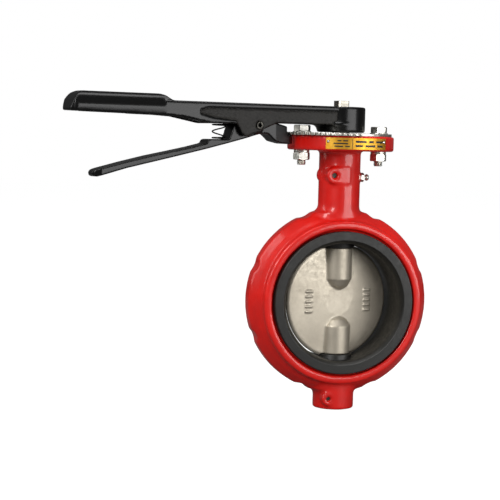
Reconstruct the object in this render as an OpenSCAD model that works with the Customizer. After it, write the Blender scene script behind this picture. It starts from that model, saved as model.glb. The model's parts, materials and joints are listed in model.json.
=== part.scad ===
// Wafer butterfly valve, lever operated, millimetres.
// Origin: where the stem axis (Z, up) crosses the pipe axis (Y). The handle lies towards -X.
// Drive and trigger pieces are drawn in the handle's own frame: X runs out along the handle from
// the stem axis, Y towards its near side, Z up. on_handle() turns that frame to its place.

/* [Body] */
// Half of the body casting's length along the pipe
body_half = 24.7; // [23.5:0.1:30]
// Radius of the body's bore
body_bore_r = 59; // [55:0.5:62]
// Wall from the bore to the outside of the machined ring at each end
ring_wall = 12; // [10:0.5:14]
// Rise of the body's round belly above that ring
belly_rise = 10; // [8:0.5:12]
// Step from the bore to the counterbore that takes the seat's face
face_bore_step = 5; // [4:0.5:6]
// Depth of that counterbore
face_bore_depth = 5; // [3:0.5:7]
// Pitch radius of the pipe-flange bolts that pass the body
pipe_bolt_pitch_r = 90; // [89:0.5:95]
// Radius of the scallop that clears one pipe-flange bolt
pipe_bolt_scallop_r = 11; // [9:0.5:13]
// Number of pipe-flange bolts
pipe_bolts = 8; // [4:4:8]

/* [Neck and lug] */
// Radius of the neck
neck_r = 18.2; // [17:0.2:22]
// Height of the top flange's upper face above the pipe axis
flange_top_z = 144.3; // [136:0.1:174]
// Thickness of the top flange
flange_t = 12.9; // [10:0.1:16]
// Radius of the top flange
flange_r = 46.5; // [45:0.5:56]
// Distance from the stem axis to each bolt of the top flange
flange_bolt_r = 35; // [32:0.5:37]
// Radius of the bottom lug
lug_r = 18; // [17:0.5:22]
// Length of the lug below the bore
lug_len = 35.9; // [33:0.1:44]
// Distance of the neck's retaining pin below the top flange
neck_pin_drop = 21.4; // [18:0.1:23]
// Distance of the lug's retaining pin above the lug's lower face
lug_pin_rise = 9.9; // [8.5:0.1:10.5]

/* [Stem] */
// Diameter of the stem
stem_d = 16; // [14:0.2:19.2]
// Wall of the bushes, and the depth of the seals round the stem
bush_wall = 2.5; // [2:0.1:3]
// Width across the flats of the square on top of the stem
square_af = 11; // [9:0.5:11.5]
// Diameter that the square's corners are turned to
square_corner_d = 13.2; // [12.5:0.1:14]
// Height of the stem's top end above the handle's arm
stem_above_arm = 5.3; // [2:0.1:30]
// Running clearance on the radius between stem and bushes
run_gap = 0.05; // [0.02:0.01:0.1]

/* [Seat] */
// How far the seat's face stands out of the body
seat_proud = 1.8; // [1:0.1:3]
// Gap round the seat's face in its counterbore
seat_side_gap = 1.8; // [1:0.1:2.5]
// Thickness of the rubber and the ring behind it, at the seat's faces
seat_t = 5.1; // [4.5:0.1:6]
// Rise of the rubber from its faces to its middle, where the disc closes
crown_rise = 3; // [2:0.1:4]
// Thickness of the stiff ring moulded behind the rubber
backing_t = 2.5; // [2:0.1:3]

/* [Disc] */
// Gap between the disc's rim and the seat
disc_gap = 0.4; // [0.3:0.05:0.8]
// Thickness of the disc at its middle
disc_mid_t = 10; // [8:0.5:14]
// Thickness of the disc at its rim
disc_rim_t = 4.4; // [3:0.2:6]
// Wall of the two stem bosses on the disc
boss_wall = 5; // [3:0.1:6]
// Distance of the disc's flat hub faces inside the seat's smallest radius
hub_face_inset = 4.4; // [4:0.1:6]
// Angle of disc and handle from closed
rest_turn = 15; // [0:5:90]

/* [Lock plate and fasteners] */
// Thickness of the lock plate
plate_t = 2.4; // [2:0.1:3]
// How far the lock plate's toothed part reaches past the top flange
teeth_reach = 6; // [5:0.1:8]
// Depth of its notches
notch_depth = 3; // [2:0.1:4]
// Angle from notch to notch
notch_pitch = 5; // [5:5:5]
// Width of a notch
notch_w = 2.9; // [2.6:0.1:3]
// Step from the top flange's edge in to the lock plate's plain edge
plate_inset = 2; // [1:0.5:4]
// Diameter of the bolts' thread
bolt_d = 8; // [6:0.5:9.5]
// Width across the flats of bolt heads and nuts
hex_af = 13; // [11:0.5:14]
// Height of a bolt head
head_h = 5.3; // [4:0.1:6.5]
// Height of a nut
nut_h = 6.5; // [5:0.1:8]

/* [Handle] */
// Length of the handle from the stem axis to its tip
handle_len = 256; // [213:1:310]
// Length of its grip
grip_len = 91; // [75:1:91]
// Height of the arm's side
arm_h = 16.1; // [14:0.1:19.5]
// Wall thickness of the handle
handle_wall = 3.8; // [3:0.1:4.6]
// Radius of the hub
hub_r = 21; // [18:0.5:25]
// Half width of the arm where it leaves the hub
arm_half_w = 17; // [15:0.5:18]
// Half width of the grip
grip_half_w = 13; // [12:0.5:15]
// Height of the grip's crown above the arm's top face
grip_rise = 5.2; // [3:0.1:7]

/* [Trigger] */
// Distance of the pivot pin from the lock plate's toothed edge
pivot_reach = 36; // [34:0.5:43]
// Distance of the pivot pin below the arm
pivot_drop = 2.1; // [1.8:0.1:3]
// Diameter of the pivot pin
pivot_d = 6; // [5:0.5:7.5]
// Half width of the trigger
trigger_half_w = 8; // [6.5:0.5:10]
// Distance of the trigger's tip from the handle's tip
tip_inset = 20; // [10:1:30]
// Distance of the return spring from the pivot pin
spring_reach = 31.5; // [29:0.5:38]
// Outer diameter of the return spring
spring_d = 11.8; // [10:0.2:14.2]
// Wire diameter of the return spring
spring_wire = 1.2; // [1:0.1:1.6]

/* [Hidden] */

$fn = 96;
// clearance between pieces that are fitted together and don't move on each other
fit = 0.02;
stem_r = stem_d / 2;
// a length longer than anything it cuts through
through = 200;

// rings of the body, from the bore outwards
ring_r = body_bore_r + ring_wall;
belly_r = ring_r + belly_rise;
face_bore_r = body_bore_r + face_bore_step;
lug_z = body_bore_r + lug_len;

// heights of the stack on the top flange
flange_bottom_z = flange_top_z - flange_t;
plate_top_z = flange_top_z + plate_t;
washer_t = 1;
washer_r = bolt_d;
spring_washer_t = 2;
spring_washer_r = bolt_d / 2 + 2.8;
bolt_past_nut = 4.4;
shank_end_z = flange_bottom_z - spring_washer_t - nut_h - bolt_past_nut;
bolt_hole_r = bolt_d / 2 + 0.5;

// retaining pins run along Y, beside the stem, and sit in a groove turned in it
neck_pin_z = flange_bottom_z - neck_pin_drop;
neck_pin_r = 2.5;
lug_pin_z = lug_z - lug_pin_rise;
lug_pin_r = 2.2;
pin_bite = 1.2;
neck_pin_x = -(stem_r + neck_pin_r - pin_bite);
lug_pin_x = -(stem_r + lug_pin_r - pin_bite);
pin_recess = 3;
pin_far_wall = 4;
nipple_z = neck_pin_z - 1.5;
nipple_hole_r = 3;
nipple_boss_rise = 0.8;

// stem bores: a wide bore at each end of the neck for bushes and seals, a close one between
bush_bore_r = stem_r + bush_wall;
neck_mid_bore_r = stem_r + 1;
lower_bush_z = body_bore_r + 2;
lower_pack_top_z = body_bore_r + 31;
upper_pack_bottom_z = flange_top_z - 30;
packing_z = flange_top_z - 11.8;
packing_step = 3;
gland_z = flange_top_z - 2.6;
lug_bore_r = stem_r + 0.2;
lug_pack_bottom_z = -body_bore_r - 21;
lug_plug_t = 3.4;
lug_plug_r = stem_r + 1;

// seat
seat_half = body_half + seat_proud;
seat_face_r = face_bore_r - seat_side_gap;
seat_lip_r = body_bore_r - seat_t;
seat_crown_r = seat_lip_r - crown_rise;

// the disc and the seat's hub pads
disc_r = seat_crown_r - disc_gap;
hub_face_z = seat_crown_r - hub_face_inset;
boss_r = stem_r + boss_wall;
hub_pad_r = boss_r + 2;
hub_gap = 0.4;
socket_depth = 26;
plain_socket_depth = 22;
socket_round = 8;
tang_flat = stem_d - 4;

// lock plate, and the trigger's tooth that stands in its notches
teeth_r = flange_r + teeth_reach;
plate_r = flange_r - plate_inset;
notch_r = teeth_r - notch_depth;
under_gap = 0.4;
tooth_side_gap = 0.35;
hook_top_z = flange_top_z - under_gap;
tooth_half_w = notch_w / 2 - tooth_side_gap;
// the nameplate's middle, from the front round towards +X, and half of its sweep
label_turn = 3;
label_half = 35;

// handle frame: the arm passes just above the bolt heads
arm_bottom_z = plate_top_z + washer_t + head_h + 0.4;
arm_top_z = arm_bottom_z + arm_h;
stem_top_z = arm_top_z + stem_above_arm;
hub_bottom_z = plate_top_z + 0.6;
grip_start_x = handle_len - grip_len;
grip_top_z = arm_top_z + grip_rise;
grip_bottom_z = grip_top_z - 16;
ceiling_z = arm_top_z - 4.6;
pocket_depth = 1;
screw_z = hub_bottom_z + 5.5;
screw_d = 5;
pivot_x = teeth_r + pivot_reach;
pivot_z = arm_bottom_z - pivot_drop;
pivot_gap = 0.06;
pivot_boss_r = pivot_d / 2 + 3.4;
ear_bottom_z = pivot_z - 9.8;
ear_end_x = pivot_x + 21;

// spring: its foot stands on the trigger's seat, its top meets the handle's spring boss
spring_x = pivot_x + spring_reach;
spring_r = spring_d / 2;
spring_foot_z = pivot_z - 12.4;
spring_top_z = arm_bottom_z - 1.4;

// places along the sloping stretch from the ear (0) to the grip (1)
function slope_x(t) = ear_end_x + t * (grip_start_x - 4 - ear_end_x);

// side view of the handle's arm, ears included: [distance from the stem axis, height]
arm_outline = [[0, arm_top_z], [grip_start_x + 10, arm_top_z],
    [grip_start_x + 10, grip_bottom_z - 1.6], [slope_x(1), grip_bottom_z - 2.2],
    [slope_x(0.76), arm_bottom_z + 0.8], [slope_x(0.48), arm_bottom_z - 1.8],
    [slope_x(0), arm_bottom_z - 1.2], [pivot_x + 19, pivot_z - 3],
    [pivot_x + 16.5, ear_bottom_z + 2.4], [pivot_x + 13.8, ear_bottom_z],
    [pivot_x + 10.2, ear_bottom_z], [pivot_x - 17, arm_bottom_z], [0, arm_bottom_z]];

// the sunk panel on each side of the arm
pocket_outline = [[12, arm_top_z - 4.1], [slope_x(0.53), arm_top_z - 4.6],
    [slope_x(0.68), arm_bottom_z + 9], [slope_x(0.68), arm_bottom_z + 6.4],
    [slope_x(0.45), arm_bottom_z + 3.2], [slope_x(0.01), arm_bottom_z + 0.6],
    [slope_x(0.06), 0], [12, 0]];

// places along the trigger's bar from the spring's seat (0) to the tip (1)
tip_x = handle_len - tip_inset;
seat_end_x = spring_x + spring_r + 8.6;
function bar_x(t) = seat_end_x + t * (tip_x - seat_end_x);

// side view of the trigger, round the outside from the tip, as height above the pivot
trigger_outline = [for (p = [[tip_x - 4.5, -44.9], [tip_x - 2, -44.1], [tip_x - 0.8, -42.3],
    [tip_x - 1.4, -40.3], [tip_x - 4, -38.9], [bar_x(0.724), -32.6], [bar_x(0.507), -27.3],
    [bar_x(0.271), -22.3], [bar_x(0.138), -19.4], [seat_end_x, -15.9], [seat_end_x - 1.5, -13.1],
    [spring_x + spring_r + 5.1, spring_foot_z - pivot_z],
    [spring_x - spring_r - 0.1, spring_foot_z - pivot_z], [spring_x - spring_r - 2.1, -8],
    [spring_x - spring_r - 6.1, 4], [pivot_x + 3, pivot_boss_r], [pivot_x - 3, pivot_boss_r],
    [pivot_x - 12, 4], [pivot_x - 27.5, 0.8], [notch_r + 7.9, -0.2],
    [notch_r + 7.5, hook_top_z - pivot_z + 1.2], [notch_r + 5.5, hook_top_z - pivot_z],
    [notch_r + 0.4, hook_top_z - pivot_z], [notch_r + 0.4, -14.7], [notch_r + 1.2, -15.3],
    [pivot_x - 27, -15], [pivot_x - 18.6, -13], [pivot_x - 15.1, -9.9], [pivot_x - 12.2, -7.5],
    [pivot_x - 8.8, -6.7], [pivot_x - 5.4, -7], [pivot_x + 1.3, -8.7], [pivot_x + 7.9, -10.8],
    [pivot_x + 28.5, -16.3], [bar_x(0.029), -21.5], [bar_x(0.36), -29.5], [bar_x(0.7), -37.5]])
    [p[0], p[1] + pivot_z]];

// half of the trigger's plan: narrow nose under the lock plate, full width behind it
trigger_plan = [[notch_r, 1.9], [notch_r + 4.5, 5.5], [notch_r + 10.5, trigger_half_w - 1.5],
    [pivot_x - 18.5, trigger_half_w], [tip_x - 8, trigger_half_w],
    [tip_x - 2.5, trigger_half_w - 2], [tip_x, trigger_half_w - 5]];

// half width of the handle at a distance from the stem axis
function arm_w(x) = arm_half_w + (grip_half_w - arm_half_w) * min(1, x / grip_start_x);

module on_handle() {
    rotate([0, 0, 180 + rest_turn]) children();
}

module along_y(r, y1, y2) {
    translate([0, y2, 0]) rotate([90, 0, 0]) cylinder(r = r, h = y2 - y1);
}

module tube(outer, inner, z1, z2) {
    translate([0, 0, z1]) difference() {
        cylinder(r = outer, h = z2 - z1);
        translate([0, 0, -1]) cylinder(r = inner, h = z2 - z1 + 2);
    }
}

// the same points mirrored to the other side of the pipe's middle, in reverse order
function far_side(points) = [for (i = [len(points) - 1 : -1 : 0]) [points[i][0], -points[i][1]]];

// a turned shape about the pipe axis: points are [radius, place along the pipe]
module turned_on_pipe(points) {
    rotate([90, 0, 0]) rotate_extrude() polygon(points);
}

module at_flange_bolts() {
    for (side = [-1, 1]) translate([side * flange_bolt_r, 0, 0]) children();
}

module hex_prism(af, h) {
    cylinder(r = af / 2 / cos(30), h = h, $fn = 6);
}

// a hexagon with the corners of both ends turned off
module turned_hex(af, h) {
    corner = af / 2 / cos(30);
    intersection() {
        hex_prism(af, h);
        rotate_extrude() polygon([[0, 0], [af / 2, 0], [corner, h * 0.12], [corner, h * 0.88],
            [af / 2, h], [0, h]]);
    }
}

module square_bar(af, corner_d, h) {
    intersection() {
        translate([-af / 2, -af / 2, 0]) cube([af, af, h]);
        cylinder(d = corner_d, h = h);
    }
}

// ---- valve body ----

module body_belly() {
    half = [[ring_r - 1, body_half], [ring_r, body_half - 1], [ring_r, body_half - 5.5],
        [ring_r + 1, body_half - 7], [ring_r + 4, body_half - 10],
        [ring_r + 6, body_half - 13], [belly_r - 0.8, 7], [belly_r, 5.5]];
    difference() {
        turned_on_pipe(concat([[body_bore_r, body_half]], half, far_side(half),
            [[body_bore_r, -body_half]]));
        for (k = [0 : pipe_bolts - 1]) rotate([0, (k + 0.5) * 360 / pipe_bolts, 0])
            translate([pipe_bolt_pitch_r, 0, 0])
                along_y(pipe_bolt_scallop_r, -body_half - 1, body_half + 1);
    }
}

module neck_pin_boss() {
    pad_r = neck_pin_r + 4.7;
    pad_edge = 4;
    reach = sqrt(neck_r * neck_r - pad_edge * pad_edge) + 0.8;
    translate([neck_pin_x, 0, neck_pin_z]) along_y(pad_r, -reach, 0);
    translate([neck_pin_x, -reach, neck_pin_z - pad_r]) cube([pad_edge - neck_pin_x, reach, 2 * pad_r]);
}

module body_casting() color("firebrick") difference() {
    union() {
        body_belly();
        translate([0, 0, body_bore_r + 2])
            cylinder(r = neck_r, h = flange_bottom_z - body_bore_r - 1);
        translate([0, 0, flange_bottom_z]) cylinder(r = flange_r, h = flange_t);
        translate([0, 0, -lug_z]) cylinder(r = lug_r, h = lug_z - body_bore_r - 2);
        neck_pin_boss();
        translate([lug_pin_x, 0, -lug_pin_z]) along_y(lug_pin_r + 4, -lug_r + 0.6, 0);
        // a cast stub on the handle's side of the neck and the grease nipple's pad opposite
        translate([0, 0, neck_pin_z]) rotate([0, -90, 0]) cylinder(r = 4.2, h = neck_r + 2);
        translate([0, 0, nipple_z]) rotate([0, 90, 0])
            cylinder(r = nipple_hole_r + 2, h = neck_r + nipple_boss_rise);
    }
    for (end = [-1, 1]) translate([0, end * (body_half + 1 - face_bore_depth / 2), 0])
        along_y(face_bore_r, -face_bore_depth / 2 - 1, face_bore_depth / 2 + 1);
    along_y(body_bore_r, -body_half - 1, body_half + 1);
    // neck bores
    translate([0, 0, body_bore_r - 3]) cylinder(r = bush_bore_r, h = lower_pack_top_z - body_bore_r + 3);
    cylinder(r = neck_mid_bore_r, h = flange_top_z);
    translate([0, 0, upper_pack_bottom_z])
        cylinder(r = bush_bore_r, h = flange_top_z - upper_pack_bottom_z + 1);
    // lug bores
    translate([0, 0, lug_pack_bottom_z])
        cylinder(r = bush_bore_r, h = -lug_pack_bottom_z - body_bore_r + 3);
    translate([0, 0, -lug_z - 1]) cylinder(r = lug_bore_r, h = lug_z);
    translate([0, 0, -lug_z - 1]) cylinder(r = lug_plug_r, h = lug_plug_t + 1);
    // retaining pins, grease nipple and flange bolts
    translate([neck_pin_x, 0, neck_pin_z]) along_y(neck_pin_r, -neck_r - 5, neck_r - pin_far_wall);
    translate([lug_pin_x, 0, -lug_pin_z]) along_y(lug_pin_r, -lug_r - 5, lug_r - pin_far_wall);
    translate([0, 0, nipple_z]) rotate([0, 90, 0]) cylinder(r = nipple_hole_r, h = neck_r + 2);
    at_flange_bolts() translate([0, 0, flange_bottom_z - 1]) cylinder(r = bolt_hole_r, h = flange_t + 2);
}

module seat_liner() color([0.2, 0.21, 0.2]) difference() {
    inner = [[seat_lip_r + 0.5, seat_half], [seat_lip_r, seat_half - 0.6],
        [seat_crown_r + 0.65, seat_half - 4], [seat_crown_r + 0.45, 12], [seat_crown_r, 6]];
    shelf_y = body_half - face_bore_depth + fit;
    outer = [[body_bore_r - backing_t - fit, shelf_y], [seat_face_r - 0.4, shelf_y],
        [seat_face_r, shelf_y + 0.4], [seat_face_r, seat_half - 0.6],
        [seat_face_r - 0.6, seat_half]];
    union() {
        turned_on_pipe(concat(inner, far_side(inner), far_side(outer), outer));
        for (end = [0, 180]) rotate([end, 0, 0]) translate([0, 0, hub_face_z + hub_gap])
            cylinder(r = hub_pad_r, h = seat_crown_r + 2.5 - hub_face_z);
    }
    cylinder(r = stem_r + run_gap, h = through, center = true);
}

module seat_backing_ring() color("saddlebrown") difference() {
    along_y(body_bore_r - fit, -body_half + face_bore_depth, body_half - face_bore_depth);
    along_y(body_bore_r - backing_t, -body_half, body_half);
    cylinder(r = stem_r + 0.8, h = through, center = true);
}

module neck_lower_bush() color("goldenrod")
    tube(bush_bore_r - fit, stem_r + run_gap, lower_bush_z, lower_bush_z + 18);

module neck_upper_bush() color("goldenrod")
    tube(bush_bore_r - fit, stem_r + run_gap, upper_pack_bottom_z + fit, packing_z - 0.2);

module lug_bush() color("goldenrod")
    tube(bush_bore_r - fit, stem_r + run_gap, lug_pack_bottom_z + fit, lug_pack_bottom_z + 15);

module oring(z) {
    section_r = (bush_bore_r - stem_r) / 2 - run_gap;
    translate([0, 0, z]) rotate_extrude()
        translate([(bush_bore_r + stem_r) / 2, 0]) circle(r = section_r, $fn = 24);
}

module neck_stem_orings() color([0.08, 0.08, 0.08]) {
    for (drop = [4, 8]) oring(lower_pack_top_z - drop);
}

module lug_stem_oring() color([0.08, 0.08, 0.08]) oring(lug_pack_bottom_z + 17);

module stem_packing() color([0.85, 0.85, 0.8])
    for (ring = [0 : 2])
        translate([0, 0, packing_z + ring * packing_step])
            tube(bush_bore_r - fit, stem_r + run_gap, 0, packing_step - 0.1);

module gland_washer() color("silver")
    tube(bush_bore_r - fit, stem_r + run_gap, gland_z, gland_z + 2);

module neck_retaining_pin() color("dimgray")
    translate([neck_pin_x, 0, neck_pin_z])
        along_y(neck_pin_r - fit, -neck_r + pin_recess, neck_r - pin_far_wall);

module lug_retaining_pin() color("dimgray")
    translate([lug_pin_x, 0, -lug_pin_z])
        along_y(lug_pin_r - fit, -lug_r + pin_recess, lug_r - pin_far_wall);

module lug_plug() color("dimgray") difference() {
    translate([0, 0, -lug_z + 0.2]) cylinder(r = lug_plug_r - fit, h = lug_plug_t - 0.2 - fit);
    translate([0, 0, -lug_z]) hex_prism(6, 2.2);
}

module grease_nipple() color("silver")
    translate([neck_r + nipple_boss_rise, 0, nipple_z]) rotate([0, 90, 0]) difference() {
        union() {
            translate([0, 0, -6.8]) cylinder(r = nipple_hole_r - fit, h = 7);
            translate([0, 0, fit]) turned_hex(7, 3);
            translate([0, 0, 2.2]) cylinder(r = 1.9, h = 3);
            translate([0, 0, 4.4]) rotate_extrude()
                polygon([[0, 0], [1.9, 0], [2.9, 1], [2.9, 1.8], [2.2, 3], [0, 3]]);
        }
        translate([0, 0, -7.8]) cylinder(r = 0.8, h = 20);
        translate([0, 0, 5.4]) cylinder(r = 1.2, h = 4);
    }

module nipple_ball() color("silver")
    translate([neck_r + nipple_boss_rise + 6.6, 0, nipple_z]) sphere(r = 1.1, $fn = 32);

module lock_plate() color("silver") difference() {
    union() {
        translate([0, 0, flange_top_z]) cylinder(r = plate_r, h = plate_t);
        intersection() {
            translate([0, 0, flange_top_z]) cylinder(r = teeth_r, h = plate_t);
            // the toothed part reaches a little past closed and open
            translate([0, 0, flange_top_z - 1]) linear_extrude(plate_t + 2)
                polygon([for (p = [[10, 0], [through, -7], [through, 45], [through, 97], [10, 90]])
                    [-p[0] * cos(p[1]), -p[0] * sin(p[1])]]);
        }
    }
    translate([0, 0, flange_top_z - 1]) cylinder(r = stem_r + 1, h = plate_t + 2);
    at_flange_bolts() translate([0, 0, flange_top_z - 1]) cylinder(r = bolt_hole_r, h = plate_t + 2);
    for (turn = [0 : notch_pitch : 90]) rotate([0, 0, 180 + turn])
        translate([notch_r, -notch_w / 2, flange_top_z - 1])
            cube([notch_depth + 1, notch_w, plate_t + 2]);
}

module plate_bolts() color("gainsboro") at_flange_bolts() {
    translate([0, 0, plate_top_z + washer_t]) turned_hex(hex_af, head_h);
    translate([0, 0, shank_end_z])
        cylinder(d = bolt_d - 2 * fit, h = plate_top_z + washer_t + 1 - shank_end_z);
}

module plate_washers() color("silver") at_flange_bolts()
    tube(washer_r, bolt_d / 2 + 0.2, plate_top_z, plate_top_z + washer_t);

module spring_washers() color("silver") at_flange_bolts() difference() {
    tube(spring_washer_r, bolt_d / 2 + 0.1, flange_bottom_z - spring_washer_t, flange_bottom_z);
    translate([0, -0.5, flange_bottom_z - 5]) cube([10, 1, 10]);
}

module plate_nuts() color("gainsboro") at_flange_bolts() difference() {
    translate([0, 0, flange_bottom_z - spring_washer_t - nut_h]) turned_hex(hex_af, nut_h);
    translate([0, 0, shank_end_z - 1]) cylinder(d = bolt_d, h = 30);
}

module nameplate() color("gold") rotate([0, 0, label_turn]) intersection() {
    tube(flange_r + 0.6, flange_r + fit, flange_bottom_z + 1.6, flange_top_z - 1.6);
    translate([0, 0, flange_bottom_z]) linear_extrude(flange_t)
        polygon([[0, 0], for (a = [-label_half, 0, label_half])
            [through * sin(a), -through * cos(a)]]);
}

module nameplate_rivets() color("silver")
    for (side = [-1, 1]) rotate([0, 0, label_turn + side * (label_half - 2.5)])
        translate([0, -flange_r, flange_bottom_z + 8]) rotate([90, 0, 0]) rotate_extrude($fn = 32)
            polygon([[0, 0.6], [1.3, 0.6], [1.1, 1.1], [0.6, 1.35], [0, 1.4]]);

// ---- disc and stems ----

module tang(d, flats, h) {
    intersection() {
        cylinder(d = d, h = h);
        translate([-d / 2, -flats / 2, 0]) cube([d, flats, h]);
    }
}

module disc_boss(crest_end, nose_end) {
    nose = crest_end - nose_end;
    rotate_extrude() polygon([[0, nose_end], [boss_r * 0.3, nose_end],
        [boss_r * 0.72, nose_end + nose * 0.42], [boss_r, crest_end],
        [boss_r, hub_face_z + 2], [0, hub_face_z + 2]]);
}

module valve_disc() color([0.78, 0.76, 0.7]) rotate([0, 0, rest_turn]) difference() {
    half = [[0, disc_mid_t / 2], [boss_r, disc_mid_t / 2], [disc_r - 2, disc_rim_t / 2],
        [disc_r, disc_rim_t / 2 - 1.2]];
    union() {
        turned_on_pipe(concat(half, far_side(half)));
        disc_boss(hub_face_z - 27.5, hub_face_z - 37.5);
        rotate([180, 0, 0]) disc_boss(hub_face_z - 24.5, hub_face_z - 33.5);
    }
    // flat hub faces, turned so that the rim clears the seat's pads
    for (end = [0, 180]) rotate([end, 0, 0]) translate([0, 0, hub_face_z])
        cylinder(r = hub_pad_r + hub_gap, h = 10);
    // sockets for the stems: round with two flats above, plain round below
    translate([0, 0, hub_face_z - socket_round]) cylinder(d = stem_d, h = socket_round + 1);
    translate([0, 0, hub_face_z - socket_depth])
        tang(stem_d - 1, tang_flat + 2 * fit, socket_depth - socket_round + 1);
    translate([0, 0, -hub_face_z - 1]) cylinder(d = stem_d, h = plain_socket_depth + 1);
}

module upper_stem() color("lightsteelblue") rotate([0, 0, rest_turn]) difference() {
    union() {
        translate([0, 0, hub_face_z - socket_round + fit])
            cylinder(d = stem_d - 2 * fit, h = hub_bottom_z - hub_face_z + socket_round - 2 * fit);
        translate([0, 0, hub_face_z - socket_depth + fit])
            tang(stem_d - 1 - 2 * fit, tang_flat, socket_depth - socket_round + 0.5);
        translate([0, 0, hub_bottom_z - 1])
            square_bar(square_af, square_corner_d, stem_top_z - hub_bottom_z + 1);
    }
    stem_groove(neck_pin_z, neck_pin_r);
}

module lower_stem() color("lightsteelblue") rotate([0, 0, rest_turn]) difference() {
    bottom_z = -lug_z + lug_plug_t + 0.4;
    translate([0, 0, bottom_z])
        cylinder(d = stem_d - 2 * fit, h = -hub_face_z + plain_socket_depth - 0.5 - bottom_z);
    stem_groove(-lug_pin_z, lug_pin_r);
}

// the groove that a retaining pin of radius r sits in
module stem_groove(z, r) {
    half_h = r + 0.3;
    tube(stem_r + 1, stem_r - pin_bite - 0.3, z - half_h, z + half_h);
}

// ---- handle ----

module extruded_side(points, half) {
    translate([0, half, 0]) rotate([90, 0, 0]) linear_extrude(2 * half) polygon(points);
}

// plan of the arm from x1 to x2, with its sides moved in by inset
module arm_plan(inset, x1, x2, z1, z2) {
    stops = concat([x1], x2 > grip_start_x ? [grip_start_x] : [], [x2]);
    side = [for (x = stops) [x, arm_w(x) - inset]];
    translate([0, 0, z1]) linear_extrude(z2 - z1)
        polygon(concat(side, far_side(side)));
}

// cross-section of the domed grip: widest a third of the way up, drawn in a little at the bottom
module grip_section(inset) {
    w = grip_half_w - inset;
    top = grip_top_z - inset;
    hull() {
        translate([-w + 0.9, grip_bottom_z - 4]) square([2 * w - 1.8, 4]);
        for (side = [-1, 1]) {
            translate([side * (w - 5), grip_bottom_z + 5]) circle(r = 5, $fn = 32);
            translate([side * (w - 8), top - 6.5]) circle(r = 6.5, $fn = 32);
        }
    }
}

module grip_shell(inset, x1, x2) {
    // the hollow is open below
    floor_z = grip_bottom_z - (inset > 0 ? 6 : 0);
    intersection() {
        translate([x1, 0, 0]) rotate([90, 0, 90]) linear_extrude(x2 - x1) grip_section(inset);
        // side view: the shoulder rises from the arm, the tip is rounded
        extruded_side([[grip_start_x - 12, arm_top_z - 6],
            [grip_start_x, arm_top_z - 0.5 - inset],
            [grip_start_x + 3.5, arm_top_z + 0.6 - inset],
            [grip_start_x + 8, grip_top_z - 1.3 - inset], [grip_start_x + 12, grip_top_z - inset],
            [handle_len - 10 - inset, grip_top_z - inset],
            [handle_len - 6 - inset, grip_top_z - 2 - inset],
            [handle_len - 2.4 - inset, grip_top_z - 7], [handle_len - inset, grip_bottom_z + 2],
            [handle_len - inset, floor_z], [grip_start_x - 12, floor_z - 2]], 30);
        // plan: rounded corners at the tip
        translate([0, 0, grip_bottom_z - 8]) linear_extrude(40) hull() {
            translate([grip_start_x - 13, -grip_half_w]) square([20, 2 * grip_half_w]);
            for (side = [-1, 1]) translate([handle_len - 6 - inset, side * (grip_half_w - 6)])
                circle(r = 6, $fn = 32);
        }
    }
}

module lever_handle() color([0.13, 0.13, 0.13]) on_handle() difference() {
    union() {
        translate([0, 0, hub_bottom_z]) cylinder(r = hub_r, h = arm_top_z - hub_bottom_z);
        difference() {
            intersection() {
                extruded_side(arm_outline, 30);
                arm_plan(0, 8, grip_start_x + 12, 0, through);
            }
            for (side = [-1, 1]) difference() {
                translate([0, side * (30 + arm_half_w - pocket_depth - 5), 0])
                    extruded_side(pocket_outline, 35);
                arm_plan(pocket_depth, 0, grip_start_x + 12, -1, through + 1);
            }
        }
        grip_shell(0, grip_start_x - 12, handle_len + 1);
    }
    // channel under the arm and hollow under the grip, round the boss that the spring bears on
    difference() {
        union() {
            arm_plan(handle_wall, hub_r + 3, grip_start_x - 8, 0, ceiling_z);
            grip_shell(handle_wall - 0.6, grip_start_x - 9, handle_len - handle_wall);
        }
        translate([spring_x, 0, spring_top_z]) cylinder(r = spring_r + 1, h = 20);
    }
    // square for the stem, holes for the pivot pin and the set screw
    translate([0, 0, hub_bottom_z - 1])
        square_bar(square_af + 2 * fit, square_corner_d + 2 * fit, through);
    translate([pivot_x, 0, pivot_z]) along_y(pivot_d / 2, -30, 30);
    translate([0, 0, screw_z]) rotate([90, 0, 0]) cylinder(d = screw_d, h = hub_r + 2);
}

module handle_set_screw() color("silver") on_handle() difference() {
    translate([0, -square_af / 2 - 2 * fit, screw_z]) rotate([90, 0, 0])
        cylinder(d = screw_d - 2 * fit, h = hub_r - square_af / 2 - 0.6);
    translate([0, 3 - hub_r, screw_z]) rotate([90, 0, 0]) hex_prism(2.5, 6);
}

module trigger_pivot_pin() color("dimgray") on_handle() difference() {
    half_len = arm_w(pivot_x) - 0.4;
    translate([pivot_x, 0, pivot_z]) along_y(pivot_d / 2 - fit, -half_len, half_len);
    translate([pivot_x, 0, pivot_z]) along_y(pivot_d / 2 - 1.2, -30, 30);
    // the slot of a rolled spring pin
    translate([pivot_x - 0.4, -30, pivot_z]) cube([0.8, 60, 10]);
}

// ---- trigger ----

module trigger() color([0.1, 0.1, 0.1]) on_handle() difference() {
    cheek = arm_w(pivot_x) - handle_wall - 0.4;
    union() {
        intersection() {
            extruded_side(trigger_outline, 20);
            translate([0, 0, pivot_z - 60]) linear_extrude(90) polygon(concat(trigger_plan,
                far_side(trigger_plan)));
        }
        translate([notch_r + 0.4, -tooth_half_w, hook_top_z - 1])
            cube([notch_depth - 0.6, 2 * tooth_half_w, plate_t + under_gap + 0.8]);
        // boss across the ears, round the pivot
        translate([pivot_x, 0, pivot_z]) along_y(pivot_boss_r, -cheek, cheek);
    }
    translate([pivot_x, 0, pivot_z]) along_y(pivot_d / 2 + pivot_gap, -30, 30);
}

module return_spring() color("silver") on_handle()
    translate([spring_x, 0, 0])
        tube(spring_r, spring_r - spring_wire, spring_foot_z + 0.3, spring_top_z - 0.3);

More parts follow.
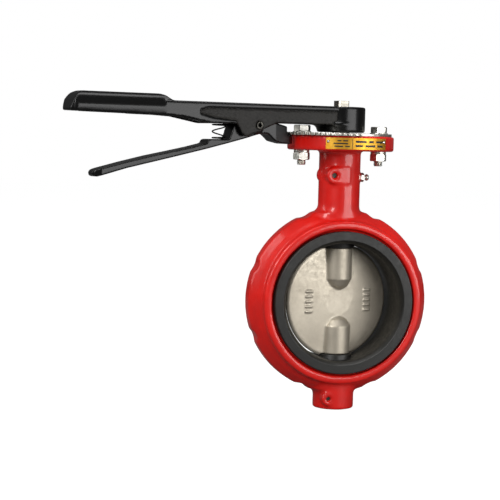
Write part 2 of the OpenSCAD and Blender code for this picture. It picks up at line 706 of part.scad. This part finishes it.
body_casting();
seat_liner();
seat_backing_ring();
neck_lower_bush();
neck_upper_bush();
lug_bush();
neck_stem_orings();
lug_stem_oring();
stem_packing();
gland_washer();
neck_retaining_pin();
lug_retaining_pin();
lug_plug();
grease_nipple();
nipple_ball();
lock_plate();
plate_bolts();
plate_washers();
spring_washers();
plate_nuts();
nameplate();
nameplate_rivets();
valve_disc();
upper_stem();
lower_stem();
lever_handle();
handle_set_screw();
trigger_pivot_pin();
trigger();
return_spring();
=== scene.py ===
"""Lever-operated wafer butterfly valve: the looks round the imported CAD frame, in metres."""
import json
import math

import bmesh
import bpy
import numpy as np
from mathutils import Matrix, Vector


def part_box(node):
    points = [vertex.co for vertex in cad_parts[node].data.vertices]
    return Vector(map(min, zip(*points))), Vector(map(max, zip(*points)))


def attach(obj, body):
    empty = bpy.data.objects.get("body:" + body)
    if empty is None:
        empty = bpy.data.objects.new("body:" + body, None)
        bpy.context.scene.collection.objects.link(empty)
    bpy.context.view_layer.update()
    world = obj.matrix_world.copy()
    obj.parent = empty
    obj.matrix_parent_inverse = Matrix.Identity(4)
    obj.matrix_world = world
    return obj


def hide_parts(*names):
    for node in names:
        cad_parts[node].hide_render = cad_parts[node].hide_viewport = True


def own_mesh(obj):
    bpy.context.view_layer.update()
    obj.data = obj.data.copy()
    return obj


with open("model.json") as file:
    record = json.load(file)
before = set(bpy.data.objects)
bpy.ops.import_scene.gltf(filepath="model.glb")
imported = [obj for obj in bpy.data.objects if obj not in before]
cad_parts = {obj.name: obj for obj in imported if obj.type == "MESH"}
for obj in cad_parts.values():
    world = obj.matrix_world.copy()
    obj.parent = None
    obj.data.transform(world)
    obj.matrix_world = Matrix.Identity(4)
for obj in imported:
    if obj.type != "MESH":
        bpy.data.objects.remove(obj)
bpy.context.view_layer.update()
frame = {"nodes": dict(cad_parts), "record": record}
MM = 0.001


# ---- places taken from the frame ----

def corners(node):
    """A node's lowest and highest corners as two numpy rows."""
    low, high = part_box(node)
    return np.array([low[:], high[:]], float)


LABEL_TURN = 3
REST_TURN = math.radians(15)
HANDLE_OUT = np.array([-math.cos(REST_TURN), -math.sin(REST_TURN), 0.0])
HANDLE_NEAR = np.array([math.sin(REST_TURN), -math.cos(REST_TURN), 0.0])
body_low = corners("body_casting")[0]
flange_bottom = corners("spring_washers")[1][2]
nut_low = corners("plate_nuts")[0]
bolt_low, bolt_high = corners("plate_bolts")
plate_low, plate_high = corners("nameplate")
spring_low, spring_high = corners("return_spring")
spring_middle = (spring_low + spring_high) / 2
handle_high = corners("lever_handle")[1]
ARM_BOTTOM = bolt_high[2] + 0.4 * MM


# ---- camera, light and floor ----

def facing(azimuth, elevation):
    """The unit vector from the middle towards a viewer at that azimuth and elevation, in degrees."""
    a, e = math.radians(azimuth), math.radians(elevation)
    return Vector((math.sin(a) * math.cos(e), -math.cos(a) * math.cos(e), math.sin(e)))


def add_camera(azimuth, elevation, distance, turn, tip, roll, lens):
    """A camera at that place, its aim turned and tipped a little from the middle and rolled, in degrees."""
    data = bpy.data.cameras.new("camera")
    data.lens = lens
    data.sensor_width = 36
    data.clip_end = 20
    camera = bpy.data.objects.new("camera", data)
    bpy.context.scene.collection.objects.link(camera)
    back = facing(azimuth + turn, elevation + tip)
    right = Vector((0, 0, 1)).cross(back).normalized()
    up = back.cross(right)
    r = math.radians(roll)
    across = right * math.cos(r) + up * math.sin(r)
    upward = up * math.cos(r) - right * math.sin(r)
    matrix = Matrix((across, upward, back)).transposed().to_4x4()
    matrix.translation = facing(azimuth, elevation) * distance
    camera.matrix_world = matrix
    bpy.context.scene.camera = camera


def add_light(name, azimuth, elevation, distance, size, watts):
    """A rectangular soft box that faces the middle of the valve."""
    data = bpy.data.lights.new(name, "AREA")
    data.shape = "RECTANGLE"
    data.size, data.size_y = size
    data.energy = watts
    lamp = bpy.data.objects.new(name, data)
    bpy.context.scene.collection.objects.link(lamp)
    towards = facing(azimuth, elevation)
    lamp.location = towards * distance + Vector((0, 0, 0.04))
    lamp.rotation_euler = towards.to_track_quat("Z", "Y").to_euler()


def linear(hex_colour):
    """An sRGB hex colour as linear RGBA."""
    parts = [int(hex_colour[i:i + 2], 16) / 255 for i in (1, 3, 5)]
    return [p / 12.92 if p <= 0.04045 else ((p + 0.055) / 1.055) ** 2.4 for p in parts] + [1.0]


# ---- materials ----

def add(tree, kind, links=None, **settings):
    """Adds one shader node. Settings name its properties or sockets, links name the socket to feed."""
    made = tree.nodes.new(kind)
    for name, value in settings.items():
        if hasattr(made, name):
            setattr(made, name, value)
        else:
            made.inputs[name.replace("_", " ")].default_value = value
    for name, source in (links or {}).items():
        tree.links.new(source, made.inputs[name])
    return made


def finish_of(name, colour, **settings):
    """A material with one Principled shader, whose even values are set on its own sockets."""
    material = bpy.data.materials.new(name)
    material.use_nodes = True
    tree = material.node_tree
    tree.nodes.clear()
    shader = add(tree, "ShaderNodeBsdfPrincipled", Base_Color=linear(colour))
    for socket, value in settings.items():
        shader.inputs[socket.replace("_", " ")].default_value = value
    output = add(tree, "ShaderNodeOutputMaterial")
    tree.links.new(shader.outputs[0], output.inputs[0])
    place = add(tree, "ShaderNodeTexCoord")
    return material, tree, shader, place.outputs["Object"]


def grain(tree, place, size_mm, detail=3, roughness=0.55):
    """Noise whose blotches are about size_mm across."""
    made = add(tree, "ShaderNodeTexNoise", {"Vector": place}, Scale=1000 / size_mm / 2)
    made.inputs["Detail"].default_value = detail
    made.inputs["Roughness"].default_value = roughness
    return made.outputs["Fac"]


def spread(tree, shader, socket, source, low, high, start=0.3, end=0.7):
    """Feeds a socket with a pattern stretched between two values or two hex colours."""
    if isinstance(low, str):
        ramp = add(tree, "ShaderNodeValToRGB", {"Fac": source})
        ramp.color_ramp.elements[0].position = start
        ramp.color_ramp.elements[1].position = end
        ramp.color_ramp.elements[0].color = linear(low)
        ramp.color_ramp.elements[1].color = linear(high)
        out = ramp.outputs["Color"]
    else:
        out = add(tree, "ShaderNodeMapRange", {"Value": source}, From_Min=start, From_Max=end,
                  To_Min=low, To_Max=high).outputs[0]
    tree.links.new(out, shader.inputs[socket])
    return out


def relief(tree, shader, heights):
    """Bump from a list of (pattern, height in mm), coarse first."""
    normal = None
    for source, height_mm in heights:
        links = {"Height": source}
        if normal is not None:
            links["Normal"] = normal
        made = add(tree, "ShaderNodeBump", links, Strength=1.0, Distance=height_mm * MM)
        normal = made.outputs["Normal"]
    tree.links.new(normal, shader.inputs["Normal"])
    return normal


def red_enamel():
    """Sprayed gloss enamel on grey iron: the casting's slow waves show through, with fine orange peel."""
    material, tree, shader, place = finish_of(
        "red_enamel", "#E6180F", Specular_IOR_Level=0.35, Coat_Weight=0.55, Coat_Roughness=0.1,
        Coat_IOR=1.45)
    waves = grain(tree, place, 9, 2)
    spread(tree, shader, "Base Color", waves, "#D4150D", "#E6190F", 0.3, 0.7)
    spread(tree, shader, "Roughness", grain(tree, place, 3), 0.34, 0.48)
    normal = relief(tree, shader, [(waves, 0.16), (grain(tree, place, 1.8), 0.03)])
    tree.links.new(normal, shader.inputs["Coat Normal"])
    return material


def black_enamel():
    """Black stoving enamel on a ductile casting: gloss on the rims, rough sand-cast skin in the panels."""
    material, tree, shader, place = finish_of(
        "black_enamel", "#0B0B0A", Specular_IOR_Level=0.22, Coat_IOR=1.4, Coat_Roughness=0.1)
    panel = add(tree, "ShaderNodeAttribute", attribute_name="panel").outputs["Fac"]
    sand = grain(tree, place, 1.3, 4, 0.65)
    lumps = grain(tree, place, 4.5, 2)
    rough = add(tree, "ShaderNodeMath", {0: panel, 1: sand}, operation="MULTIPLY").outputs[0]
    swell = add(tree, "ShaderNodeMath", {0: panel, 1: lumps}, operation="MULTIPLY").outputs[0]
    spread(tree, shader, "Roughness", panel, 0.3, 0.55, 0, 1)
    spread(tree, shader, "Base Color", rough, "#080808", "#272522", 0, 0.7)
    spread(tree, shader, "Coat Weight", panel, 0.22, 0.08, 0, 1)
    normal = relief(tree, shader, [(swell, 0.8), (grain(tree, place, 12, 2), 0.12), (rough, 0.3)])
    tree.links.new(normal, shader.inputs["Coat Normal"])
    return material


def epdm():
    """Moulded EPDM rubber: satin dark grey with a light bloom and a faint skin texture."""
    material, tree, shader, place = finish_of("epdm", "#242523", Specular_IOR_Level=0.5)
    bloom = grain(tree, place, 14, 4)
    spread(tree, shader, "Base Color", bloom, "#12120F", "#1E1D1A")
    spread(tree, shader, "Roughness", grain(tree, place, 2.5), 0.36, 0.5)
    relief(tree, shader, [(bloom, 0.12), (grain(tree, place, 0.7), 0.02)])
    return material


def plain_rubber(name, colour):
    """Small moulded seals: black nitrile, barely textured."""
    material, tree, shader, place = finish_of(name, colour, Specular_IOR_Level=0.4)
    spread(tree, shader, "Roughness", grain(tree, place, 1.5), 0.45, 0.6)
    relief(tree, shader, [(grain(tree, place, 0.5), 0.01)])
    return material


def cast_stainless():
    """Shell-cast CF8M stainless, bead blasted: warm grey, satin, with a fine even grain."""
    material, tree, shader, place = finish_of("cast_stainless", "#D8CFBD", Metallic=0.75)
    clouds = grain(tree, place, 16, 4)
    spread(tree, shader, "Base Color", clouds, "#B5AC9C", "#D2C9B8")
    spread(tree, shader, "Roughness", grain(tree, place, 1.4, 4), 0.42, 0.58)
    relief(tree, shader, [(clouds, 0.12), (grain(tree, place, 0.9, 4), 0.035)])
    return material


def metal(name, dark, light, rough, blotch_mm, height_mm):
    """A bare or plated metal, from its two shades, its range of roughness and its blotches."""
    material, tree, shader, place = finish_of(name, light, Metallic=1.0)
    blotch = grain(tree, place, blotch_mm, 4)
    spread(tree, shader, "Base Color", blotch, dark, light)
    spread(tree, shader, "Roughness", grain(tree, place, blotch_mm / 3), *rough)
    relief(tree, shader, [(blotch, height_mm)])
    return material


def turned_steel():
    """13 % chromium stem steel, turned: fine rings 0.3 mm apart round its axis, drawn 0.6 mm apart."""
    material, tree, shader, place = finish_of("stem_steel", "#8F8B82", Metallic=1.0)
    rings = add(tree, "ShaderNodeTexWave", {"Vector": place}, bands_direction="Z",
                Scale=1000 / 0.6 / 20).outputs["Fac"]
    spread(tree, shader, "Roughness", rings, 0.24, 0.36, 0, 1)
    spread(tree, shader, "Base Color", grain(tree, place, 5, 4), "#78746B", "#99958C")
    relief(tree, shader, [(rings, 0.01)])
    return material


def moulded(name, dark, light, rough):
    """A plain moulded or sintered material, from its two shades and its range of roughness."""
    material, tree, shader, place = finish_of(name, light)
    spread(tree, shader, "Base Color", grain(tree, place, 2), dark, light)
    spread(tree, shader, "Roughness", grain(tree, place, 1), *rough)
    relief(tree, shader, [(grain(tree, place, 1), 0.02)])
    return material


FINISHES = {
    "red_enamel": red_enamel(),
    "black_enamel": black_enamel(),
    "epdm": epdm(),
    "cast_stainless": cast_stainless(),
    "stem_steel": turned_steel(),
    "nitrile": plain_rubber("nitrile", "#0E0E0E"),
    # bright zinc plate on steel, faintly cloudy
    "zinc_steel": metal("zinc_steel", "#C4C2B9", "#EAE8E0", (0.3, 0.46), 4, 0.02),
    # phosphated spring steel, dark and dull
    "spring_steel": metal("spring_steel", "#2E2D2A", "#55534E", (0.32, 0.5), 2, 0.02),
    # patented wire, drawn and oiled
    "spring_wire": metal("spring_wire", "#2A2A28", "#4A4A46", (0.22, 0.36), 1.5, 0.01),
    "bronze": metal("bronze", "#9C7434", "#B98E48", (0.28, 0.42), 3, 0.02),
    "rivet_aluminium": metal("rivet_aluminium", "#B9B8B3", "#DAD9D4", (0.2, 0.32), 2, 0.01),
    # printed foil on aluminium: a brassy yellow lacquer
    "yellow_plate": metal("yellow_plate", "#D49A2C", "#E8B548", (0.4, 0.52), 3, 0.01),
    "phenolic": moulded("phenolic", "#3A2012", "#55301B", (0.5, 0.65)),
    "ptfe": moulded("ptfe", "#DAD9D3", "#ECEBE6", (0.4, 0.55)),
}
PRINT = moulded("plate_ink", "#16140F", "#242019", (0.4, 0.55))
SLOT_OF = {p["node"]: p["material_slot"] for p in frame["record"]["subparts"]}
for node_name, cad_object in frame["nodes"].items():
    cad_object.data.materials.clear()
    cad_object.data.materials.append(FINISHES[SLOT_OF[node_name]])


# ---- meshes ----

def new_piece(name, verts, faces, body, slot, material=None):
    """A mesh object at the origin, riding on a body, finished like a material slot."""
    mesh = bpy.data.meshes.new(name)
    mesh.from_pydata(np.asarray(verts, float).tolist(), [], [list(map(int, f)) for f in faces])
    mesh.update()
    piece = bpy.data.objects.new(name, mesh)
    bpy.context.scene.collection.objects.link(piece)
    mesh.materials.append(material or FINISHES[slot])
    shade(piece)
    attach(piece, body)
    return piece


def shade(piece, angle=35):
    """Smooth shading, except over edges sharper than angle."""
    mesh = piece.data
    mesh.polygons.foreach_set("use_smooth", np.ones(len(mesh.polygons), bool))
    mesh.set_sharp_from_angle(angle=math.radians(angle))


def grid_faces(rows, cols, closed):
    """Quads of a grid of points; closed joins the last column to the first."""
    r, c = np.meshgrid(np.arange(rows - 1), np.arange(cols if closed else cols - 1), indexing="ij")
    r, c = r.ravel(), c.ravel()
    n = (c + 1) % cols
    return np.stack([r * cols + c, r * cols + n, (r + 1) * cols + n, (r + 1) * cols + c], 1)


def turned(profile, core_r, flare, segments=96):
    """Solid of revolution about the stem axis: profile is rows of (radius, z), from the lower end
    outwards and up. What a row reaches past core_r is multiplied by flare of the angle."""
    profile = np.asarray(profile, float)
    t = np.arange(segments) * 2 * math.pi / segments
    past = np.maximum(profile[:, :1] - core_r, 0)
    r = np.minimum(profile[:, :1], core_r) + past * flare(t)
    x = r * np.cos(t)
    y = r * np.sin(t)
    z = np.repeat(profile[:, 1:], segments, 1)
    verts = np.stack([x, y, z], 2).reshape(-1, 3)
    rows = len(profile)
    faces = grid_faces(rows, segments, True).tolist()
    faces.append(list(range(segments))[::-1])
    faces.append([(rows - 1) * segments + i for i in range(segments)])
    return verts, faces


def all_round(t):
    """The same reach at every angle."""
    return np.ones_like(t)


def both_sides(t):
    """Full reach on the handle's side, a third opposite, none along the pipe: squared cosine."""
    return np.cos(t) ** 2 * np.where(np.cos(t) < 0, 1, 0.35)


def along_handle(t):
    """Full reach towards the handle only, as the square of the cosine of the angle from it."""
    return np.maximum(-np.cos(t - REST_TURN), 0) ** 2


def fillet_collar(inner_r, radius, z, up, flare=all_round, sink=2.0, steps=10):
    """Ring that fills the corner between a post of inner_r and a flat at height z with a quarter
    circle of that radius; up is +1 if the post stands on the flat, -1 if it hangs below it."""
    a = np.linspace(0, math.pi / 2, steps)
    curve = np.stack([inner_r + radius * (1 - np.sin(a)), z + up * radius * (1 - np.cos(a))], 1)
    core = inner_r - sink * MM
    low_end = [(core, z - up * sink * MM), (inner_r + radius, z - up * sink * MM)]
    rows = np.vstack([low_end, curve, [(core, curve[-1, 1])]])
    return turned(rows if up > 0 else rows[::-1], inner_r, flare)


def bar(start, end, half_width, height, out, sink):
    """A rounded raised bar from start to end on a surface whose outward direction is out: a
    stadium outline, carried up by height in three rows whose edge is rounded in at the top."""
    start, end, out = (np.asarray(v, float) for v in (start, end, out))
    along = (end - start) / np.linalg.norm(end - start)
    across = np.cross(out, along)
    a = np.linspace(-math.pi / 2, math.pi / 2, 9)
    arc = np.outer(np.cos(a), along) + np.outer(np.sin(a), across)
    outline = np.vstack([end + arc * half_width, start - arc * half_width])
    centre = (start + end) / 2
    rows = [outline - out * sink, outline + out * height * 0.6,
            centre + (outline - centre) * 0.94 + out * height]
    faces = grid_faces(3, len(outline), True).tolist()
    faces.append(list(range(len(outline)))[::-1])
    faces.append([2 * len(outline) + i for i in range(len(outline))])
    return np.vstack(rows), faces


def cast_skin(name, node, body, voxel_mm, rounds, extras=()):
    """A casting: the CAD solid and what is cast on to it, wrapped in one skin of small quads and
    smoothed a few times, which rounds every edge and fills every inner corner a little."""
    mesh = bpy.data.meshes.new(name)
    work = bmesh.new()
    work.from_mesh(frame["nodes"][node].data)
    bmesh.ops.remove_doubles(work, verts=work.verts, dist=1e-6)
    for verts, faces in extras:
        points = [work.verts.new(v) for v in verts]
        new_faces = [work.faces.new([points[i] for i in f]) for f in faces]
        bmesh.ops.recalc_face_normals(work, faces=new_faces)
    work.to_mesh(mesh)
    work.free()
    piece = bpy.data.objects.new(name, mesh)
    bpy.context.scene.collection.objects.link(piece)
    wrap = piece.modifiers.new("wrap", "REMESH")
    wrap.mode = "VOXEL"
    wrap.voxel_size = voxel_mm * MM
    relax = piece.modifiers.new("relax", "SMOOTH")
    relax.factor = 0.5
    relax.iterations = rounds
    ready = piece.evaluated_get(bpy.context.evaluated_depsgraph_get())
    piece.data = bpy.data.meshes.new_from_object(ready)
    piece.modifiers.clear()
    piece.data.name = name
    piece.data.materials.clear()
    piece.data.materials.append(FINISHES[SLOT_OF[node]])
    piece.data.polygons.foreach_set("use_smooth", np.ones(len(piece.data.polygons), bool))
    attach(piece, body)
    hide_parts(node)
    return piece


def points_of(piece):
    """A mesh's points as rows."""
    flat = np.zeros(len(piece.data.vertices) * 3, np.float32)
    piece.data.vertices.foreach_get("co", flat)
    return flat.reshape(-1, 3).astype(float)


# ---- valve body ----

def body_skin():
    """The body with the fillets of its neck and lug."""
    neck_r = 18.2 * MM
    lug_r = 18 * MM
    extras = [
        fillet_collar(neck_r, 2 * MM, flange_bottom, -1),
        fillet_collar(neck_r, 6.5 * MM, 77.5 * MM, 1, both_sides, 6),
        fillet_collar(lug_r, 6 * MM, -77.5 * MM, -1, both_sides, 6),
    ]
    return cast_skin("body_skin", "body_casting", "valve_body", 1.15, 8, extras)


body_skin()


def disc_marks():
    """Two columns of five plain raised bars, one each side of the boss, as a foundry's marks stand."""
    out = HANDLE_NEAR
    marks = []
    for side in (-1, 1):
        for k in range(5):
            centre = -HANDLE_OUT * side * 29.5 * MM + np.array([0, 0, (k - 2) * 4.4 * MM])
            surface = centre + out * (4.0 * MM)
            half = HANDLE_OUT * 2.6 * MM
            marks.append(bar(surface - half, surface + half, 0.95 * MM, 0.35 * MM, out, 1.2 * MM))
    return marks


cast_skin("disc_skin", "valve_disc", "drive", 0.6, 5, disc_marks())


# ---- handle and trigger ----

def panel_mask(piece):
    """Marks the sunk side panels of the arm: points well inside the arm's side view and more than
    half the panel's depth below its side face."""
    p = points_of(piece)
    out = p @ HANDLE_OUT
    near = p @ HANDLE_NEAR
    z = p[:, 2]
    side = np.interp(out, [0, 0.165], [0.017, 0.013])
    depth = side - np.abs(near)
    top = handle_high[2] - 5.2 * MM - 4.6 * MM
    inside = (depth > 0.55 * MM) & (depth < 1.5 * MM) & (z < top) & (out > 12 * MM) & (out < 0.146)
    mask = piece.data.attributes.new("panel", "FLOAT", "POINT")
    mask.data.foreach_set("value", inside.astype(np.float32))


def plain_mask(piece):
    """No sunk panels on this piece."""
    mask = piece.data.attributes.new("panel", "FLOAT", "POINT")
    mask.data.foreach_set("value", np.zeros(len(piece.data.vertices), np.float32))


def handle_skin():
    """The handle with the fillet where its arm runs down into the hub."""
    gusset = fillet_collar(21 * MM, 5.5 * MM, ARM_BOTTOM, -1, along_handle)
    return cast_skin("handle_skin", "lever_handle", "drive", 0.8, 13, [gusset])


panel_mask(handle_skin())
plain_mask(cast_skin("trigger_skin", "trigger", "trigger_arm", 0.6, 9))


def coil_spring():
    """Round wire along a helix: its angle runs evenly, and its height rises slowly for the closed
    turn at each end and fast between, as a smooth step; the wire's circle stands across the path."""
    wire_r = 0.6 * MM
    coil_r = (spring_high[0] - spring_low[0]) / 2 - wire_r
    turns, per_turn, around = 2.8, 48, 10
    low = 138.9 * MM + wire_r
    high = 152.0 * MM - wire_r
    n = int(turns * per_turn)
    u = np.linspace(0, 1, n + 1)
    a = u * turns * 2 * math.pi + 0.6
    end_share = 0.85 / turns
    closed_rise = 2 * wire_r * 0.85
    rise = np.interp(u, [0, end_share, 1 - end_share, 1],
                     [0, closed_rise, high - low - closed_rise, high - low])
    centre = np.stack([spring_middle[0] + coil_r * np.cos(a), spring_middle[1] + coil_r * np.sin(a),
                       low + rise], 1)
    along = np.gradient(centre, axis=0)
    along /= np.linalg.norm(along, axis=1, keepdims=True)
    outwards = np.stack([np.cos(a), np.sin(a), 0 * a], 1)
    upward = np.cross(along, outwards)
    upward /= np.linalg.norm(upward, axis=1, keepdims=True)
    t = np.arange(around) * 2 * math.pi / around
    ring = (outwards[:, None] * np.cos(t)[None, :, None] + upward[:, None] * np.sin(t)[None, :, None])
    verts = (centre[:, None] + wire_r * ring).reshape(-1, 3)
    faces = grid_faces(n + 1, around, True).tolist()
    faces.append(list(range(around))[::-1])
    faces.append([n * around + i for i in range(around)])
    piece = new_piece("return_coil", verts, faces, "drive", "spring_wire")
    outward_faces(piece)
    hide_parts("return_spring")
    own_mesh(piece)
    return piece


def outward_faces(piece):
    """Turns every face of a closed shell outwards."""
    work = bmesh.new()
    work.from_mesh(piece.data)
    bmesh.ops.recalc_face_normals(work, faces=work.faces)
    work.to_mesh(piece.data)
    work.free()


coil_spring()


# ---- nameplate print ----

def print_patch(angle_1, angle_2, z1, z2, radius):
    """A thin curved patch round the stem axis between two angles from the front and two heights."""
    a = np.radians(np.linspace(angle_1, angle_2, 12) + LABEL_TURN)
    rim = np.stack([np.sin(a), -np.cos(a)], 1)
    rows = [np.column_stack([rim * r, np.full(12, z)]) for r, z in
            ((radius - 0.1 * MM, z1), (radius, z1), (radius, z2), (radius - 0.1 * MM, z2))]
    faces = grid_faces(4, 12, False).tolist()
    return np.vstack(rows), faces


def nameplate_print():
    """Plain ruled ink on the plate: a block at the left, and rows of dashes to its right."""
    verts, faces = [], []
    face_r = -plate_low[1] + 0.05 * MM
    low, high = plate_low[2] + 1.3 * MM, plate_high[2] - 1.3 * MM
    row_h = (high - low) / 3
    patches = [(-7.6, -7, low - 0.6 * MM, high + 0.6 * MM)]
    for k, dashes in enumerate([[(-26, -17), (-15, -10)], [(-27, -12)], [(-23, -19), (-17, -12)]]):
        patches += [(a1, a2, low + (k + 0.25) * row_h, low + (k + 0.7) * row_h) for a1, a2 in dashes]
    tall = (high - low) / 2
    for k, dashes in enumerate([[(-4, 4), (7, 19), (22, 30)], [(-4, 8), (11, 17), (20, 31)]]):
        patches += [(a1, a2, low + (k + 0.22) * tall, low + (k + 0.72) * tall) for a1, a2 in dashes]
    for patch in patches:
        v, f = print_patch(*patch, face_r)
        faces += [[i + len(verts) for i in face] for face in f]
        verts += v.tolist()
    piece = new_piece("nameplate_ink", verts, faces, "valve_body", "yellow_plate", PRINT)
    return piece


nameplate_print()


# ---- fasteners ----

def thread_rows(major_r, pitch, z1, z2, per_turn=48, rows_per_pitch=8):
    """Screw thread as a surface of angle and height: the radius falls from the crest by 0.6 of the
    pitch in a rounded V whose place climbs one pitch in each turn, and fades at its lower end."""
    rows = int((z2 - z1) / pitch * rows_per_pitch) + 1
    z = np.linspace(z1, z2, rows)[:, None]
    t = (np.arange(per_turn) * 2 * math.pi / per_turn)[None, :]
    phase = (z / pitch - t / (2 * math.pi)) % 1
    groove = 0.5 + 0.5 * np.cos(2 * math.pi * phase)
    fade = np.clip((z - z1) / (0.6 * pitch), 0, 1)
    r = major_r - 0.6 * pitch * (groove * fade + (1 - fade))
    return r, z, t


def bolts():
    """The two bolts: the CAD bolt down to inside its nut, and below that a threaded end, M8 x 1.25."""
    cut_z = nut_low[2] + 1.5 * MM
    work = bmesh.new()
    work.from_mesh(frame["nodes"]["plate_bolts"].data)
    bmesh.ops.remove_doubles(work, verts=work.verts, dist=1e-6)
    kept = bmesh.ops.bisect_plane(work, geom=work.verts[:] + work.edges[:] + work.faces[:],
                                  plane_co=(0, 0, cut_z), plane_no=(0, 0, -1), clear_outer=True)
    rim = [e for e in kept["geom_cut"] if isinstance(e, bmesh.types.BMEdge)]
    bmesh.ops.edgeloop_fill(work, edges=rim)
    work.verts.index_update()
    verts = [v.co[:] for v in work.verts]
    faces = [[v.index for v in f.verts] for f in work.faces]
    work.free()
    r, z, t = thread_rows(3.98 * MM, 1.25 * MM, bolt_low[2], cut_z)
    for middle_x in (-35 * MM, 35 * MM):
        ring = np.stack([middle_x + r * np.cos(t), r * np.sin(t), z + 0 * t], 2).reshape(-1, 3)
        rows, cols = r.shape
        new = grid_faces(rows, cols, True).tolist()
        new.append(list(range(cols))[::-1])
        new.append([(rows - 1) * cols + i for i in range(cols)])
        faces += [[i + len(verts) for i in f] for f in new]
        verts += ring.tolist()
    piece = new_piece("bolts", verts, faces, "valve_body", "zinc_steel")
    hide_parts("plate_bolts")
    return piece


bolts()


def broken_edges(node, width_mm):
    """Breaks the sharp edges of a machined or stamped CAD node."""
    piece = frame["nodes"][node]
    weld = piece.modifiers.new("weld", "WELD")
    weld.merge_threshold = 1e-6
    bevel = piece.modifiers.new("bevel", "BEVEL")
    bevel.width = width_mm * MM
    bevel.segments = 2
    bevel.limit_method = "ANGLE"
    bevel.angle_limit = math.radians(38)


for node_name, width_mm in (("lock_plate", 0.2), ("plate_nuts", 0.2), ("plate_washers", 0.15),
                            ("upper_stem", 0.4), ("seat_liner", 0.3), ("spring_washers", 0.15)):
    broken_edges(node_name, width_mm)

bpy.context.scene.view_settings.view_transform = "Standard"

# ---- stage ----

add_camera(-16.99, 6.15, 1.30034, 3.40, -1.85, 1.46, 105.9)

floor_mesh = bpy.data.meshes.new("floor")
FLOOR_HALF = 6
floor_mesh.from_pydata([(-FLOOR_HALF, -FLOOR_HALF, 0), (FLOOR_HALF, -FLOOR_HALF, 0),
                        (FLOOR_HALF, FLOOR_HALF, 0), (-FLOOR_HALF, FLOOR_HALF, 0)], [], [(0, 1, 2, 3)])
floor = bpy.data.objects.new("floor", floor_mesh)
bpy.context.scene.collection.objects.link(floor)
floor.location = (0, 0, body_low[2] - 0.5 * MM)


def paper():
    """Pale studio paper: bright where the camera looks at it, and a dimmer light source below."""
    material = bpy.data.materials.new("studio_paper")
    material.use_nodes = True
    tree = material.node_tree
    tree.nodes.clear()
    ray = add(tree, "ShaderNodeLightPath")
    lit = add(tree, "ShaderNodeBsdfDiffuse", Color=linear("#8C8C8C"))
    glow = add(tree, "ShaderNodeEmission", Color=linear("#FFFFFF"), Strength=0.97)
    seen = add(tree, "ShaderNodeAddShader", {0: lit.outputs[0], 1: glow.outputs[0]})
    dim = add(tree, "ShaderNodeBsdfDiffuse", Color=linear("#707070"))
    mix = add(tree, "ShaderNodeMixShader",
              {0: ray.outputs["Is Camera Ray"], 1: dim.outputs[0], 2: seen.outputs[0]})
    add(tree, "ShaderNodeOutputMaterial", {0: mix.outputs[0]})
    return material


floor_mesh.materials.append(paper())


def studio_world(strength):
    """White behind the object, and an even dim light of that strength on it."""
    world = bpy.data.worlds.new("studio")
    bpy.context.scene.world = world
    world.use_nodes = True
    tree = world.node_tree
    ray = add(tree, "ShaderNodeLightPath")
    level = add(tree, "ShaderNodeMapRange", {"Value": ray.outputs["Is Camera Ray"]},
                To_Min=strength, To_Max=1.0)
    tree.links.new(level.outputs[0], tree.nodes["Background"].inputs["Strength"])
    tree.nodes["Background"].inputs["Color"].default_value = linear("#FFFFFF")


studio_world(0.1)
add_light("front_right", 36, 3, 1.5, (1.2, 0.55), 12)
add_light("front_left", -42, 28, 1.5, (0.35, 0.9), 13)
add_light("top", 0, 78, 1.3, (1.2, 0.6), 12)
add_light("left_edge", -105, 30, 1.4, (0.3, 1.2), 4)
